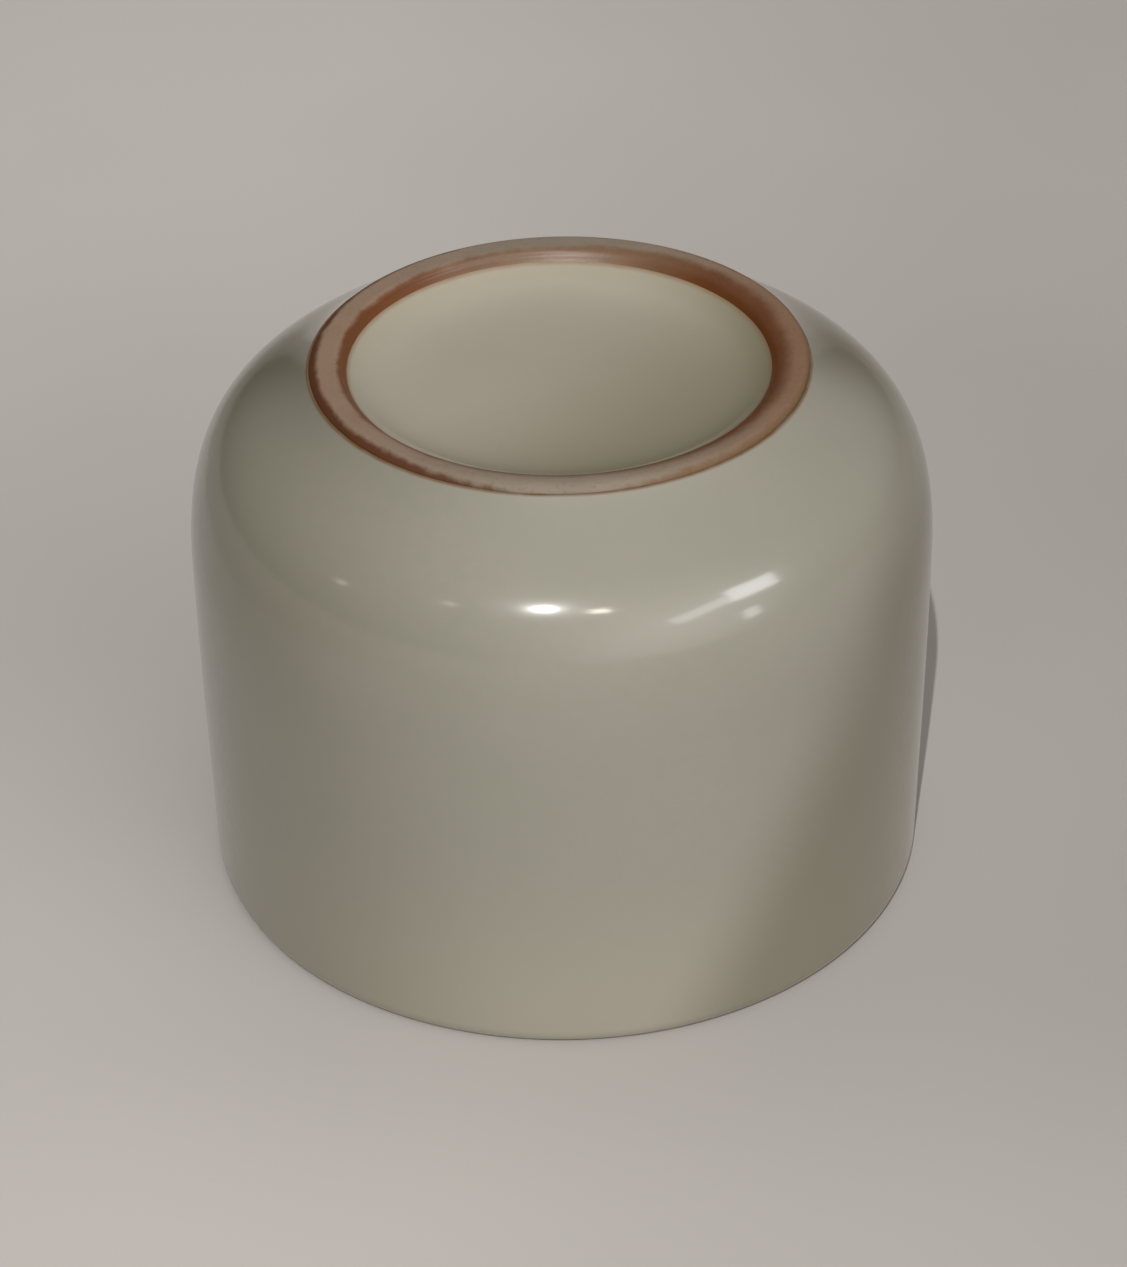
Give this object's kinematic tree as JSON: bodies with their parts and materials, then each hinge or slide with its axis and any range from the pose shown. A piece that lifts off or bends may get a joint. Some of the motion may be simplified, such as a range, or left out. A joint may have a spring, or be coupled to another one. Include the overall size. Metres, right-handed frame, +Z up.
{
  "type": "tea bowl",
  "caption": "Round celadon tea bowl stood upside down on its rim: thrown clay wall, bare clay foot ring and coats of glaze outside, inside and in the foot's recess.",
  "frame": {"origin": "centre of the circle on which the inverted bowl's rim stands", "axes": "+Z up the bowl's own axis, from the rim it stands on to the foot ring on top; X and Y are alike"},
  "size_m": [0.08, 0.08, 0.0612],
  "materials": {
    "biscuit_clay": "matt fired clay",
    "bare_foot_clay": "bare fired clay, iron red-brown",
    "celadon_glaze": "glossy pale celadon glaze",
    "celadon_glaze_inside": "glossy pale celadon glaze",
    "celadon_glaze_base": "glossy pale celadon glaze"
  },
  "bodies": {
    "root": {"clay_body": "biscuit_clay", "foot_ring": "bare_foot_clay", "outer_glaze": "celadon_glaze", "inner_glaze": "celadon_glaze_inside", "base_glaze": "celadon_glaze_base"}
  },
  "joints": []
}
